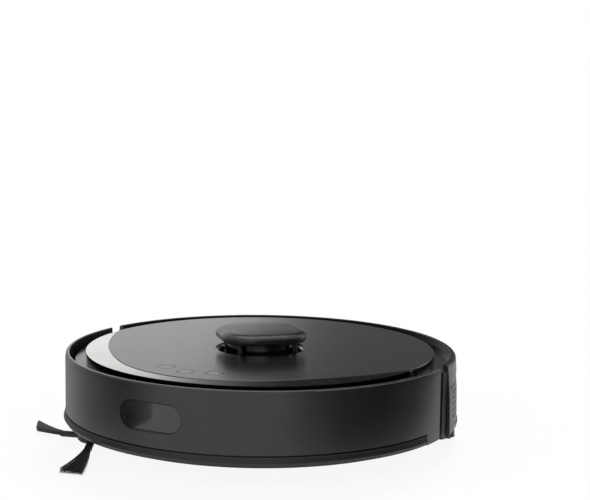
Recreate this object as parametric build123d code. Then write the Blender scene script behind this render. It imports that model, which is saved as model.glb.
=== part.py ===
import os
from math import atan2, cos, degrees, hypot, radians, sin, sqrt

from build123d import *

# Frame: millimetres, +Z up, floor at Z 0, origin under the body centre, front = -Y.
# Angles around the body are degrees from the front, positive toward +X.

# overall body
BODY_R = 170.0
REAR_BULGE = 3.8
RIM_Z = 75.5
BASE_Z = 12.0
BASE_T = 2.5
WALL = 2.5
BUMPER_SPAN = 92.3
REAR_START = 97.5
BUMPER_Z = 15.5
BUMPER_WALL = 3.6
BUMPER_TRAVEL = 4.0
GAP = 0.3
CURVE_GAP = 0.05

# derived shell radii and levels
BUMPER_IN = BODY_R - BUMPER_WALL
FRONT_R = BUMPER_IN - BUMPER_TRAVEL - 3.4
DECK_R = BODY_R - 8.7
BASE_REAR_R = BODY_R - 4.0
BASE_TOP = BASE_Z + BASE_T
SEAM_Z = BASE_Z + 12.0
DECK_TOP = RIM_Z - 7.0
DECK_T = 2.5
DECK_Z = DECK_TOP - DECK_T

# bumper details
STRIP_SPAN = 84.0
STRIP_H = 8.0
STRIP_PROUD = 1.7
GROOVE_H = 9.3
GROOVE_R = BODY_R - 2.2
WINDOW_W = 57.6
WINDOW_H = 23.0
WINDOW_Z = BUMPER_Z + 33.5
SPRING_X = 45.0
SPRING_Z = BUMPER_Z + 15.5

# top cover
COVER_R = BODY_R - 17.5
DISC_TOP = RIM_Z + 0.4
CRESCENT_TOP = RIM_Z - 0.1
CREST_FRONT = 0.9115
CREST_KNEE = (0.446, 0.757)
CREST_MID = (0.7646, 0.4328)
CREST_TIP = (0.99990, 0.01442)
BUTTON_R = 7.2
BUTTON_TRAVEL = 0.6
BUTTON_SPOTS = {
    "power_button": (0.0, -119.0),
    "home_button": (-23.5, -112.0),
    "spot_button": (23.5, -112.0),
}

# sensor turret
WELL_R = 39.5
ROTOR_R = 30.0
ROTOR_H = 14.2
CAP_W = 75.0
CAP_CORNER = 26.0
CAP_T = 7.6
CAP_GAP = 1.8
CAP_TRAVEL = 1.2
PILLAR_R = 2.2
PILLAR_RING = 34.0
PULLEY_R = 21.0
MOTOR_PULLEY_R = 5.0
MOTOR_Y = 34.0

# drive wheels
WHEEL_R = 31.5
WHEEL_W = 18.0
WHEEL_X = 124.0
WHEEL_Y = 8.0
PIVOT_Y = -30.0
PIVOT_Z = WHEEL_R + 4.5
ARM_X = (99.0, 112.5)
WELL_X = (97.0, 136.0)
WELL_Y = (-32.0, 42.0)
PIN_R = 3.0
TREADS = 24

# caster
CASTER_X = 13.0
CASTER_Y = -112.0
CASTER_R = 13.0
CASTER_W = 14.0
CASTER_WELL_R = 18.0

# main brush
BRUSH_Y = 12.0
BRUSH_R = 19.0
BRUSH_Z = BRUSH_R + 0.5
BRUSH_HALF = 84.0
BAY_R = BRUSH_R + 3.0
BAY_HALF = 90.5
CORE_R = 10.0
FINS = 6
FIN_T = 2.2
FIN_TWIST = 50.0
GUARD_X = 96.0
GUARD_Z = (BASE_Z - 2.8, BASE_Z - 0.15)
HINGE_Y = BRUSH_Y - 30.7
HINGE_Z = BASE_Z - 1.5
HOOK_X = 50.0

# side brush
SIDE_X = -94.0
SIDE_Y = -118.0
SIDE_REACH = 89.0
SIDE_ARM_DEG = (-60.0, 60.0, 180.0)
TUFT_BEND = (6.0, 10.0, 20.0)
TUFT_ROWS = 6
TUFT_COLS = 18

# dust bin
BIN_HALF = 46.0
BIN_Y = 62.0
BIN_Z = SEAM_Z + 0.8
BIN_TOP = DECK_Z - 3.0
BIN_WALL = 2.5
LATCH_TRAVEL = 2.5

# mop
MOP_Y = 53.5
MOP_R = BODY_R - 1.0
MOP_PLATE_T = 4.5

# rear fittings
POST_START = 94.9
POST_TOP = RIM_Z - 5.5
GRILLE_AT = 110.0
GRILLE_SHAPE = ((-33.0, 62.0), (-24.5, 22.5), (0.0, 19.0), (29.0, 19.0), (29.0, 62.0))
GRILLE_ROWS = 7
GRILLE_COLS = 9
CONTACT_Z = (30.0, 44.0)
CONTACT_W = 10.0
CONTACT_GAP = 7.0
CONTACT_X = BIN_HALF + CONTACT_GAP + CONTACT_W / 2

# inside
FAN_AT = (98.0, 84.0)
FAN_R = 28.0
FAN_H = 30.0
SCREW_DEG = (20.0, 75.0, 140.0)
SCREW_R = (148.0, 148.0, 155.0)
BATTERY_X = 58.0
BATTERY_Y = (-87.0, -47.0)
BATTERY_H = 31.0
CLIFF_SPOTS = ((36.0, -144.0, 14.0), (126.0, -78.0, 58.0))


def polar(radius, angle):
    return radius * sin(radians(angle)), -radius * cos(radians(angle))


def block(x0, x1, y0, y1, z0, z1):
    return Pos((x0 + x1) / 2, (y0 + y1) / 2, (z0 + z1) / 2) * Box(x1 - x0, y1 - y0, z1 - z0)


def rod(radius, x, y, z0, z1):
    return Pos(x, y, (z0 + z1) / 2) * Cylinder(radius, z1 - z0)


def rod_x(radius, y, z, x0, x1):
    return Pos((x0 + x1) / 2, y, z) * Rot(0, 90, 0) * Cylinder(radius, x1 - x0)


def rod_y(radius, x, z, y0, y1):
    return Pos(x, (y0 + y1) / 2, z) * Rot(90, 0, 0) * Cylinder(radius, y1 - y0)


def slab(sketch, z0, z1):
    return extrude(Pos(0, 0, z0) * sketch, z1 - z0)


def turned(points, radii, start, end):
    outline = FilletPolyline(*points, radius=radii, close=True)
    solid = revolve(Plane.XZ * make_face(outline), Axis.Z, end - start)
    return Rot(0, 0, start - 90) * solid


def ring(r_in, r_out, z0, z1, start=0.0, end=360.0):
    return turned([(r_in, z0), (r_out, z0), (r_out, z1), (r_in, z1)], 0, start, end)


def both_sides(shape):
    return [shape, mirror(shape, Plane.YZ)]


def slot_y(width, height, z, y0, y1):
    face = Plane.XZ.offset(-y1) * Pos(0, z) * SlotOverall(width, height)
    return extrude(face, y1 - y0)


def wall_r(z):
    out = BODY_R + REAR_BULGE
    low, knee = BASE_Z + 4.5, RIM_Z - 29.0
    if z < knee:
        return out - 0.6 * (z - low) / (knee - low)
    return out - 0.6 - 2.2 * (z - knee) / (RIM_Z - knee)


def rear_profile(inset):
    foot = BASE_REAR_R + 0.4 - inset
    low, knee = BASE_Z + 4.5, RIM_Z - 29.0
    points = [(foot, BASE_Z + 1.2), (wall_r(low) - 3.0 - inset, BASE_Z + 1.2)]
    points += [(wall_r(z) - inset, z) for z in (low, knee, RIM_Z)]
    points += [(BODY_R - 4.0 - inset, RIM_Z), (BODY_R - 1.0 - inset, RIM_Z - 15.0)]
    points += [(BODY_R + 1.0 - inset, knee), (BODY_R + 1.0 - inset, BASE_Z + 11.0), (foot, BASE_Z + 4.0)]
    return points, [0, 0, 3, 40, 3, 0.6, 0, 0, 0, 0]


def rear_solid(inset):
    points, radii = rear_profile(inset)
    outline = [(100.0, BASE_Z + 1.2)] + points[1:5] + [(100.0, RIM_Z)]
    return turned(outline, [0] + radii[1:5] + [0], REAR_START, 360 - REAR_START)


def bumper_shell():
    points = [(BUMPER_IN, BUMPER_Z), (BODY_R, BUMPER_Z), (BODY_R, RIM_Z - 5.0)]
    points += [(BODY_R - 0.8, RIM_Z), (BUMPER_IN, RIM_Z)]
    shell = turned(points, [0, 0, 0, 1.3, 0.8], -BUMPER_SPAN, BUMPER_SPAN)
    end = STRIP_SPAN + 0.5
    shell -= ring(GROOVE_R, BODY_R + 5, BUMPER_Z - 1, BUMPER_Z + GROOVE_H, -end, end)
    shell -= slot_y(WINDOW_W, WINDOW_H, WINDOW_Z, -BODY_R - 5, -BODY_R + 25)
    lip = slot_y(WINDOW_W + 1.6, WINDOW_H + 1.6, WINDOW_Z, -BODY_R - 5, -BODY_R + 25)
    return shell - (lip & ring(BODY_R - 0.6, BODY_R + 5, WINDOW_Z - 20, WINDOW_Z + 20, -30, 30))


def bumper_strip():
    r_in = GROOVE_R + CURVE_GAP
    r_out = BODY_R + STRIP_PROUD
    top = BUMPER_Z + STRIP_H
    points = [(r_in, BUMPER_Z), (r_out - 2.6, BUMPER_Z), (r_out, BUMPER_Z + 3.6)]
    points += [(r_out - 0.9, top - 0.8), (r_out - 1.8, top), (r_in, top)]
    return turned(points, 0, -STRIP_SPAN, STRIP_SPAN)


def front_window():
    pane = slot_y(WINDOW_W - 0.9, WINDOW_H - 0.9, WINDOW_Z, -BODY_R - 5, -BODY_R + 25)
    flange = slot_y(WINDOW_W + 5, WINDOW_H + 5, WINDOW_Z, -BODY_R - 5, -BODY_R + 25)
    back = BUMPER_IN - 2.2
    pane = pane & ring(back, BODY_R - 0.8, WINDOW_Z - 20, WINDOW_Z + 20, -30, 30)
    return pane + (flange & ring(back, BUMPER_IN - CURVE_GAP, WINDOW_Z - 20, WINDOW_Z + 20, -30, 30))


def bumper_springs():
    path = ring(FRONT_R + 0.2, BUMPER_IN - 0.2, SPRING_Z - 10, SPRING_Z + 10, -40, 40)
    coil = rod_y(4.2, SPRING_X, SPRING_Z, -BODY_R, -FRONT_R + 25)
    coil -= rod_y(2.7, SPRING_X, SPRING_Z, -BODY_R - 1, -FRONT_R + 26)
    return both_sides(coil & path)


def screw_spots():
    spots = []
    for angle, radius in zip(SCREW_DEG, SCREW_R):
        for side in (1, -1):
            spots.append(polar(radius, angle * side))
    return spots


def base_outline(inset):
    front = Circle(FRONT_R - inset)
    rear_face = Circle(BASE_REAR_R - inset) - Circle(60)
    start = polar(BODY_R * 2, REAR_START)
    wedge = make_face(Polyline((0, 0), start, (BODY_R * 2, BODY_R * 2), (-BODY_R * 2, BODY_R * 2),
                               (-start[0], start[1]), (0, 0)))
    return front + (rear_face & wedge)


def wheel_ear():
    ear = block(WELL_X[0] - 7, WELL_X[0], PIVOT_Y - 8, PIVOT_Y + 8, BASE_TOP - 0.5, PIVOT_Z)
    ear += rod_x(8, PIVOT_Y, PIVOT_Z, WELL_X[0] - 7, WELL_X[0])
    return ear - rod_x(PIN_R + CURVE_GAP, PIVOT_Y, PIVOT_Z, WELL_X[0] - 9, WELL_X[0] + 2)


def brush_bay():
    arch = rod_x(BAY_R + WALL, BRUSH_Y, BRUSH_Z, -BAY_HALF - WALL, BAY_HALF + WALL)
    arch -= block(-BODY_R, BODY_R, -60, 90, -60, BASE_TOP - 0.5)
    duct = block(-32.5, 32.5, BRUSH_Y + 12, BIN_Y - 0.5, BRUSH_Z + 4, BRUSH_Z + 21)
    rib = block(-3, 3, BRUSH_Y + 22, BIN_Y - 1, BASE_TOP - 0.5, BRUSH_Z + 6)
    hollow = rod_x(BAY_R, BRUSH_Y, BRUSH_Z, -BAY_HALF, BAY_HALF)
    passage = block(-30, 30, BRUSH_Y + 8, BIN_Y + 1, BRUSH_Z + 6.5, BRUSH_Z + 18.5)
    ends = rod_x(4.08, BRUSH_Y, BRUSH_Z, -BAY_HALF - 5, BAY_HALF + 5)
    return arch + duct + rib, hollow + passage + ends


def guard_hook():
    x0, x1 = HOOK_X - 3.6, HOOK_X + 3.6
    hook = rod_x(2.2, HINGE_Y, HINGE_Z, x0, x1)
    hook += block(x0, x1, HINGE_Y - 1.6, HINGE_Y + 1.6, HINGE_Z, BASE_Z + 0.5)
    hook -= rod_x(1.0, HINGE_Y, HINGE_Z, x0 - 1, x1 + 1)
    return hook - block(x0 - 1, x1 + 1, HINGE_Y - 4, HINGE_Y, HINGE_Z - 0.8, HINGE_Z + 0.8)


def base_pan():
    plate = slab(base_outline(0), BASE_Z, BASE_TOP)
    skirt = slab(base_outline(0) - base_outline(WALL), BASE_Z, SEAM_Z)
    bay, hollow = brush_bay()
    caster_cup = rod(CASTER_WELL_R + WALL, CASTER_X, CASTER_Y, BASE_TOP - 0.5, BASE_TOP + 22)
    pan = plate + skirt + bay + caster_cup
    pan += both_sides(wheel_ear()) + both_sides(guard_hook())
    pan += both_sides(block(36.5, 39.5, BIN_Y + 2, BASE_REAR_R - 8, BASE_TOP - 0.5, BIN_Z - GAP))
    mouth = block(-BAY_HALF, BAY_HALF, BRUSH_Y - 21.5, BRUSH_Y + 21.5, BASE_Z - 1, BASE_TOP + 0.1)
    pan = pan - hollow - mouth
    well_mid = ((WELL_X[0] + WELL_X[1]) / 2, (WELL_Y[0] + WELL_Y[1]) / 2)
    well = Pos(*well_mid) * RectangleRounded(WELL_X[1] - WELL_X[0], WELL_Y[1] - WELL_Y[0], 5)
    pan -= both_sides(slab(well, BASE_Z - 1, BASE_TOP + 1))
    hatch_y = sum(BATTERY_Y) / 2
    hatch = Pos(0, hatch_y) * RectangleRounded(2 * BATTERY_X + 8, BATTERY_Y[1] - BATTERY_Y[0] + 6, 5)
    pan -= slab(hatch, BASE_Z - 1, BASE_TOP + 1)
    pan -= rod(CASTER_WELL_R, CASTER_X, CASTER_Y, BASE_Z - 1, BASE_TOP + 19.5)
    pan -= rod(4.1, CASTER_X, CASTER_Y, BASE_Z, BASE_TOP + 30)
    pan -= rod(4.2, SIDE_X, SIDE_Y, BASE_Z - 1, BASE_TOP + 1)
    pan -= [rod(1.7, x, y, BASE_Z - 1, BASE_TOP + 1) for x, y in screw_spots()]
    pan -= [rod(3.4, x, y, BASE_Z - 1, BASE_Z + 1.7) for x, y in screw_spots()]
    pan -= [cliff_pill(x, y, turn, 0.0, BASE_TOP + 1) for x, y, turn in cliff_places()]
    return pan


def cliff_places():
    return [(side * x, y, side * turn) for x, y, turn in CLIFF_SPOTS for side in (1, -1)]


def cliff_pill(x, y, turn, inset, top):
    face = Pos(x, y) * Rot(0, 0, turn) * SlotOverall(16 - 2 * inset, 7 - 2 * inset)
    return slab(face, BASE_Z + inset, top) if inset else slab(face, BASE_Z - 1, top)


def cliff_sensors():
    return [cliff_pill(x, y, turn, 0.2, BASE_TOP + 5) for x, y, turn in cliff_places()]


def base_screws():
    screws = []
    for x, y in screw_spots():
        head = rod(3.1, x, y, BASE_Z + 0.3, BASE_Z + 1.7)
        screws.append(head + rod(1.45, x, y, BASE_Z + 1.6, BASE_Z + 16))
    return screws


def contact_box(inset, y0, y1):
    x0 = CONTACT_X - CONTACT_W / 2 + inset
    x1 = CONTACT_X + CONTACT_W / 2 - inset
    return block(x0, x1, y0, y1, CONTACT_Z[0] + inset, CONTACT_Z[1] - inset)


def end_post():
    inner = BASE_REAR_R + 0.3
    corners = [polar(inner, POST_START), polar(BODY_R - 0.7, POST_START)]
    corners += [polar(BODY_R + 1.2, REAR_START + 0.1), polar(inner, REAR_START + 0.1)]
    return slab(make_face(Polyline(*corners, close=True)), BASE_Z + 1.2, POST_TOP)


def grille_prism(inset):
    tangent = (cos(radians(GRILLE_AT)), sin(radians(GRILLE_AT)), 0)
    plane = Plane((0, 0, 0), x_dir=tangent, z_dir=(*polar(1, GRILLE_AT), 0))
    face = make_face(Polyline(*GRILLE_SHAPE, close=True))
    if inset:
        face = offset(face, -inset)
    return extrude(plane.offset(BODY_R - 15) * face, 30)


def upper_shell():
    points, radii = rear_profile(0)
    shell = turned(points, radii, REAR_START, 360 - REAR_START)
    shell += ring(FRONT_R - WALL, FRONT_R, SEAM_Z, DECK_Z + 0.5, -REAR_START - 1, REAR_START + 1)
    closer = ring(FRONT_R - WALL, BODY_R + 1, SEAM_Z, DECK_Z + 0.5, REAR_START, REAR_START + 1.2)
    shell += both_sides(closer) + both_sides(end_post())
    shell += slab(Circle(DECK_R), DECK_Z, DECK_TOP)
    shell += ring(FRONT_R - 20, BODY_R, DECK_Z, DECK_TOP, REAR_START, 360 - REAR_START)
    shell += [rod(4.5, x, y, BASE_TOP, DECK_Z + 0.5) for x, y in screw_spots()]
    shell += [rod(3.0, x, y, DECK_Z - 12, DECK_Z + 0.5) for x in (-60, 60) for y in (-120, -58)]
    shell += [rod_y(2.2, side * SPRING_X, SPRING_Z, -FRONT_R + 4.3, -FRONT_R + 8.5) for side in (1, -1)]
    shell -= [rod(1.6, x, y, BASE_TOP - 1, BASE_TOP + 18) for x, y in screw_spots()]
    shell -= rod(ROTOR_R + 1.8, 0, 0, DECK_Z - 1, DECK_TOP + 1)
    shell -= block(-BIN_HALF - 0.6, BIN_HALF + 0.6, 100, BODY_R + 10, BIN_Z - 0.4, BIN_TOP + 0.6)
    shell -= both_sides(contact_box(0, BODY_R - 20, BODY_R + 10))
    return shell - (grille_prism(0) & ring(BODY_R - 6, BODY_R + 10, 0, 100, 90, 130))


def grille_room(s, z):
    (s0, z1), (s1, z0), corner, (s2, _), _ = GRILLE_SHAPE
    left = s1 + (s0 - s1) * (z - z0) / (z1 - z0)
    floor_z = corner[1] + max(0.0, -s) * (z0 - corner[1]) / -s1
    return min(s - left, s2 - s, z1 - z, z - floor_z)


def exhaust_grille():
    levels = (GRILLE_SHAPE[2][1] - 1, RIM_Z - 29.0, GRILLE_SHAPE[0][1] + 1)
    front = [(wall_r(z) - 0.6, z) for z in levels]
    back = [(r - 2.0, z) for r, z in reversed(front)]
    panel = turned(front + back, 0, GRILLE_AT - 14, GRILLE_AT + 14) & grille_prism(0.2)
    cells = []
    for row in range(GRILLE_ROWS):
        for col in range(GRILLE_COLS):
            s, z = -27.5 + 6.0 * col, 23.6 + 5.2 * row
            lean = 45 if (row + col) % 2 else -45
            place = Rot(0, 0, GRILLE_AT + degrees(s / BODY_R) - 90) * Pos(BODY_R, 0, z) * Rot(lean, 0, 0)
            if grille_room(s, z) > 3.4:
                cells.append(place * Box(14, 4.8, 1.7))
    return panel - cells


def charge_contacts():
    edge = CONTACT_X + CONTACT_W / 2
    face_y = sqrt(wall_r(CONTACT_Z[1]) ** 2 - edge ** 2) - 0.3
    return both_sides(contact_box(0.15, face_y - 3.2, face_y))


def crest_outline():
    front = (0, -CREST_FRONT * COVER_R)
    knee = (CREST_KNEE[0] * COVER_R, -CREST_KNEE[1] * COVER_R)
    mid = (CREST_MID[0] * COVER_R, -CREST_MID[1] * COVER_R)
    tip = (CREST_TIP[0] * COVER_R, -CREST_TIP[1] * COVER_R)
    left = [(-x, y) for x, y in (tip, mid, knee)]
    edges = ThreePointArc(*left) + ThreePointArc(left[2], front, knee)
    edges += ThreePointArc(knee, mid, tip) + ThreePointArc(tip, (0, COVER_R), left[0])
    return make_face(edges)


def top_disc():
    outline = crest_outline()
    disc = slab(offset(outline, -0.12), DECK_TOP, DISC_TOP)
    disc = chamfer(disc.faces().sort_by(Axis.Z)[-1].edges(), 0.7)
    pocket = offset(outline, -3.2) - Circle(WELL_R + 3)
    pocket -= [Pos(*spot) * Circle(BUTTON_R + 2.3) for spot in BUTTON_SPOTS.values()]
    pocket -= [Rot(0, 0, turn) * Rectangle(4 * BODY_R, 2.0) for turn in (0, 60, 120)]
    disc -= slab(pocket, DECK_TOP - 1, DISC_TOP - 2.6)
    disc -= slab(Circle(WELL_R), DECK_TOP - 1, DISC_TOP + 1)
    disc -= [rod(BUTTON_R + GAP, *spot, DECK_TOP - 1, DISC_TOP + 1) for spot in BUTTON_SPOTS.values()]
    return disc


def crescent_trim():
    face = Circle(COVER_R - 0.12) - crest_outline()
    trim = slab(face, DECK_TOP, CRESCENT_TOP)
    return trim - block(-BODY_R, BODY_R, -0.04 * COVER_R, BODY_R, 0, 200)


def turret_ring():
    inner = PILLAR_RING + PILLAR_R + 0.6
    outer = WELL_R - 0.2
    top = RIM_Z - 0.9
    points = [(inner, DECK_TOP), (outer, DECK_TOP), (outer, top), (inner + 1.0, top), (inner, top - 1.6)]
    return turned(points, 0, 0, 360)


def button(spot):
    body = rod(BUTTON_R, *spot, DECK_TOP + BUTTON_TRAVEL + 0.2, DISC_TOP)
    return chamfer(body.faces().sort_by(Axis.Z)[-1].edges(), 0.4)


def cap_levels():
    bottom = DECK_TOP + 1.5 + ROTOR_H + CAP_GAP
    return bottom, bottom + CAP_T


def turret_cap():
    bottom, top = cap_levels()
    pebble = slab(Rot(0, 0, 45) * RectangleRounded(CAP_W, CAP_W, CAP_CORNER), bottom, top)
    pebble = fillet(pebble.faces().sort_by(Axis.Z)[-1].edges(), CAP_T * 0.5)
    pebble = fillet(pebble.faces().sort_by(Axis.Z)[0].edges(), CAP_T * 0.3)
    spots = [polar(PILLAR_RING, angle) for angle in (0, 90, 180, 270)]
    foot = DECK_TOP + CAP_TRAVEL + 0.5
    return pebble + [rod(PILLAR_R, x, y, foot, bottom + 1) for x, y in spots]


def cap_springs():
    coil = rod(1.9, 0, 0, DECK_TOP, DECK_TOP + 1.6) - rod(1.1, 0, 0, DECK_TOP - 1, DECK_TOP + 3)
    return [Pos(*polar(PILLAR_RING, angle), 0) * coil for angle in (0, 90, 180, 270)]


def lidar_base():
    floor_z = DECK_Z - 8
    tray = slab(Circle(ROTOR_R + 14), floor_z, DECK_Z)
    tray -= slab(Circle(ROTOR_R + 11.5), floor_z + 2.5, DECK_Z + 1)
    tray -= rod(3.0, 0, MOTOR_Y, floor_z - 1, floor_z + 4)
    return tray + rod(7, 0, 0, floor_z + 1, floor_z + 2.7) + rod(3, 0, 0, floor_z + 1, DECK_TOP + 1)


def lidar_rotor():
    low = DECK_Z - 5.0
    head = DECK_TOP + 1.5
    top = head + ROTOR_H
    rim = PULLEY_R + 1.6
    points = [(3.06, low), (rim, low), (rim, low + 0.6), (PULLEY_R, low + 0.6), (PULLEY_R, low + 3.8)]
    points += [(rim, low + 3.8), (rim, low + 4.4), (PULLEY_R - 1, low + 4.4), (PULLEY_R - 1, head)]
    points += [(ROTOR_R - 0.8, head), (ROTOR_R, head + 0.8), (ROTOR_R, top - 1.4), (ROTOR_R - 1.4, top)]
    points += [(0, top), (0, head + 2), (3.06, head + 2)]
    rotor = turned(points, 0, 0, 360)
    return rotor - ring(ROTOR_R - 3, ROTOR_R + 2, head + 3.2, top - 3.2, 18, 82)


def lidar_lens():
    head = DECK_TOP + 1.5
    return ring(ROTOR_R - 2.95, ROTOR_R - 0.3, head + 3.4, head + ROTOR_H - 3.4, 18.4, 81.6)


def lidar_pulley():
    low = DECK_Z - 5.0
    r = MOTOR_PULLEY_R
    points = [(1.04, low), (r + 1, low), (r + 1, low + 0.6), (r, low + 0.6), (r, low + 3.8)]
    points += [(r + 1, low + 3.8), (r + 1, low + 4.4), (1.04, low + 4.4)]
    return Pos(0, MOTOR_Y, 0) * turned(points, 0, 0, 360)


def belt_loop(clear):
    big = PULLEY_R + clear
    small = MOTOR_PULLEY_R + clear
    lean = (big - small) / MOTOR_Y
    side = sqrt(1 - lean * lean)
    web = [(big * side, big * lean), (small * side, MOTOR_Y + small * lean)]
    web += [(-x, y) for x, y in reversed(web)]
    return make_face(Polyline(*web, close=True)) + Circle(big) + Pos(0, MOTOR_Y) * Circle(small)


def lidar_belt():
    low = DECK_Z - 5.0
    return slab(belt_loop(1.15) - belt_loop(0.06), low + 0.8, low + 3.6)


def lidar_motor():
    floor_z = DECK_Z - 8
    return rod(9, 0, MOTOR_Y, floor_z - 12, floor_z) + rod(1.0, 0, MOTOR_Y, floor_z - 1, DECK_Z - 0.4)


def battery():
    pack = block(-BATTERY_X, BATTERY_X, *BATTERY_Y, BASE_TOP, BASE_TOP + BATTERY_H)
    return fillet(pack.edges().filter_by(Axis.Z), 3)


def battery_cover():
    width = 2 * BATTERY_X + 8 - 2 * GAP
    depth = BATTERY_Y[1] - BATTERY_Y[0] + 6 - 2 * GAP
    lid = slab(Pos(0, sum(BATTERY_Y) / 2) * RectangleRounded(width, depth, 4.7), BASE_Z, BASE_TOP)
    grip = Pos(0, BATTERY_Y[0] + 4) * SlotOverall(26, 8)
    return lid - slab(grip, BASE_Z - 1, BASE_Z + 1.2)


def main_board():
    board = block(-70, 70, -128, -50, DECK_Z - 13.6, DECK_Z - 12)
    chips = block(-30, -8, -105, -83, DECK_Z - 15.5, DECK_Z - 13)
    return board + chips + block(15, 45, -112, -100, DECK_Z - 17, DECK_Z - 13)


def fan_housing():
    x, y = FAN_AT
    top = BASE_TOP + FAN_H
    case = rod(FAN_R, x, y, BASE_TOP, top)
    duct_x, duct_y = polar(BODY_R, GRILLE_AT)
    turn = degrees(atan2(duct_y - y, duct_x - x))
    reach = hypot(duct_x - x, duct_y - y) + 12
    duct = Pos(x, y, 0) * Rot(0, 0, turn) * block(0, reach, -16, 16, SEAM_Z + 0.5, top)
    duct &= slab(Circle(BODY_R + 0.3), 0, 100)
    inner = rod(FAN_R - 2, x, y, BASE_TOP + 2, top - 2)
    inner += Pos(x, y, 0) * Rot(0, 0, turn) * block(0, reach + 5, -14, 14, SEAM_Z + 2.5, top - 2)
    return case + duct - inner - rod(9, x, y, top - 5, top + 5)


def fan_motor():
    x, y = FAN_AT
    return rod(11, x, y, BASE_TOP + 2, BASE_TOP + 9) + rod(1.5, x, y, BASE_TOP + 8, BASE_TOP + 18)


def fan_impeller():
    x, y = FAN_AT
    low = BASE_TOP + 9.6
    wheel = rod(22, 0, 0, low, low + 2) + rod(5, 0, 0, low + 1, low + 11)
    for turn in range(0, 360, 45):
        wheel += Rot(0, 0, turn) * Pos(13, 0, low + 6) * Rot(0, 0, 25) * Box(15, 1.4, 10)
    wheel -= rod(1.56, 0, 0, low - 1, low + 9.2)
    return Pos(x, y, 0) * wheel


def brush_motor():
    top = BRUSH_Z + BAY_R + WALL
    can = block(50, BAY_HALF + WALL + 0.1, BRUSH_Y - 19, BRUSH_Y + 17, top + 0.1, top + 17)
    side = block(BAY_HALF + WALL + 0.1, WELL_X[0] - 0.6, BRUSH_Y - 17, BRUSH_Y + 15, BASE_TOP + 0.1, top + 17)
    return can + side - rod_x(4.4, BRUSH_Y, BRUSH_Z, BAY_HALF, BAY_HALF + 5)


def side_brush_motor():
    turn = degrees(atan2(-SIDE_Y, -SIDE_X))
    gears = Pos(SIDE_X, SIDE_Y) * Rot(0, 0, turn) * Pos(10, 0) * SlotOverall(30, 14)
    case = slab(gears, BASE_TOP, BASE_TOP + 14)
    can = Pos(SIDE_X, SIDE_Y, 0) * Rot(0, 0, turn) * rod(11, 20, 0, BASE_TOP, BASE_TOP + 24)
    return case + can - rod(3.6, SIDE_X, SIDE_Y, BASE_TOP - 1, BASE_TOP + 9)


def wheel_arm():
    x0, x1 = ARM_X
    lean = degrees(atan2(WHEEL_R - PIVOT_Z, WHEEL_Y - PIVOT_Y))
    reach = hypot(WHEEL_Y - PIVOT_Y, WHEEL_R - PIVOT_Z)
    beam = Pos(0, PIVOT_Y, PIVOT_Z) * Rot(lean, 0, 0) * block(x0, x1, 0, reach, -8, 8)
    arm = beam + rod_x(9, PIVOT_Y, PIVOT_Z, x0, x1) + rod_x(13, WHEEL_Y, WHEEL_R, x0, x1)
    arm -= rod_x(PIN_R + CURVE_GAP, PIVOT_Y, PIVOT_Z, x0 - 1, x1 + 1)
    return arm - rod_x(PIN_R + CURVE_GAP, WHEEL_Y, WHEEL_R, x0 + 4, x1 + 1)


def suspension_pins():
    return both_sides(rod_x(PIN_R, PIVOT_Y, PIVOT_Z, WELL_X[0] - 7, ARM_X[1]))


def wheel_hub():
    x0 = WHEEL_X - WHEEL_W / 2 + 1
    x1 = WHEEL_X + WHEEL_W / 2 - 1
    hub = rod_x(WHEEL_R - 5, WHEEL_Y, WHEEL_R, x0, x1)
    dish = rod_x(WHEEL_R - 8, WHEEL_Y, WHEEL_R, x1 - 4, x1 + 1) - rod_x(7, WHEEL_Y, WHEEL_R, x1 - 5, x1 + 2)
    for turn in range(0, 360, 60):
        dish -= Pos(0, WHEEL_Y, WHEEL_R) * Rot(turn, 0, 0) * block(x1 - 5, x1 + 2, -2, 2, 0, WHEEL_R)
    hub -= dish
    hub += rod_x(5, WHEEL_Y, WHEEL_R, ARM_X[1] + 0.5, x0 + 1)
    return hub + rod_x(PIN_R, WHEEL_Y, WHEEL_R, ARM_X[0] + 5, x0 + 1)


def tyre():
    x0 = WHEEL_X - WHEEL_W / 2
    x1 = WHEEL_X + WHEEL_W / 2
    band = rod_x(WHEEL_R, WHEEL_Y, WHEEL_R, x0, x1) - rod_x(WHEEL_R - 4.95, WHEEL_Y, WHEEL_R, x0 - 1, x1 + 1)
    grooves = []
    for index in range(TREADS):
        turn = 360 / TREADS * (index + 0.5)
        bar = block(x0 - 1, x1 + 1, -1.6, 1.6, WHEEL_R - 2.2, WHEEL_R + 2)
        grooves.append(Pos(0, WHEEL_Y, WHEEL_R) * Rot(turn, 0, 0) * bar)
    return band - grooves


def caster_fork():
    top = BASE_TOP + 19
    body = rod(CASTER_WELL_R - 0.6, 0, 0, CASTER_R - 4, top)
    body = chamfer(body.faces().sort_by(Axis.Z)[0].edges(), 2.5)
    half = CASTER_W / 2 + 1
    body -= block(-half, half, -CASTER_R - 2, CASTER_R + 2, 0, 2 * CASTER_R + 1.5)
    body += rod(4, 0, 0, top - 1, top + 8)
    body -= rod_x(1.55, 0, CASTER_R, -30, 30)
    return Pos(CASTER_X, CASTER_Y, 0) * body


def caster_axle():
    reach = CASTER_WELL_R - 5
    return Pos(CASTER_X, CASTER_Y, 0) * rod_x(1.5, 0, CASTER_R, -reach, reach)


def caster_wheel():
    wheel = rod_x(CASTER_R, 0, CASTER_R, -CASTER_W / 2, CASTER_W / 2)
    wheel = chamfer(wheel.edges().filter_by(GeomType.CIRCLE), 1.6)
    wheel -= rod_x(1.56, 0, CASTER_R, -CASTER_W, CASTER_W)
    return Pos(CASTER_X, CASTER_Y, 0) * wheel


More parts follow.
